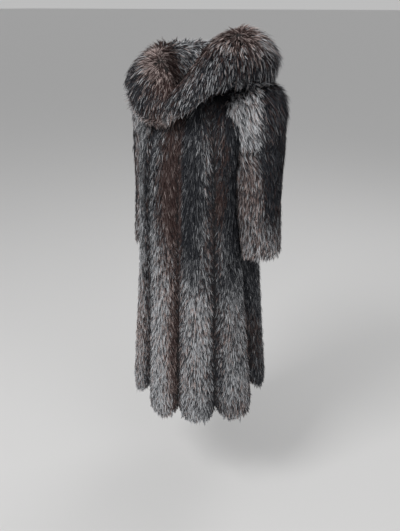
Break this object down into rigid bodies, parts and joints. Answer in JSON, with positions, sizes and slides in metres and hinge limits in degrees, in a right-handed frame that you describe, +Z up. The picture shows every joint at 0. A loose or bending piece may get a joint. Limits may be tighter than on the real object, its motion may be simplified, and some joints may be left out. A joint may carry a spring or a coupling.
{
  "type": "fur coat",
  "caption": "Full-length silver-fox fur coat in its worn shape, closed in front, with a big rolled shawl collar and open hem, cuffs and neck.",
  "frame": {"origin": "middle of the neck at the height of the collar seam, where a neck or hanger holds the coat", "axes": "+Z up, -Y out of the coat's front, +X to the wearer's left"},
  "size_m": [0.5708, 0.4212, 1.2811],
  "materials": {
    "silver_fox": "fur",
    "dark_fox": "fur",
    "collar_fox": "fur"
  },
  "bodies": {
    "root": {"right_back_inner": "silver_fox", "right_back_outer": "silver_fox", "right_side": "silver_fox", "right_front_outer": "silver_fox", "right_front_inner": "silver_fox", "left_front_inner": "silver_fox", "left_front_outer": "silver_fox", "left_side": "silver_fox", "left_back_outer": "silver_fox", "left_back_inner": "silver_fox", "left_sleeve": "silver_fox", "right_sleeve": "silver_fox", "left_sleeve_head": "dark_fox", "right_sleeve_head": "dark_fox", "left_collar": "collar_fox", "right_collar": "collar_fox"}
  },
  "joints": []
}
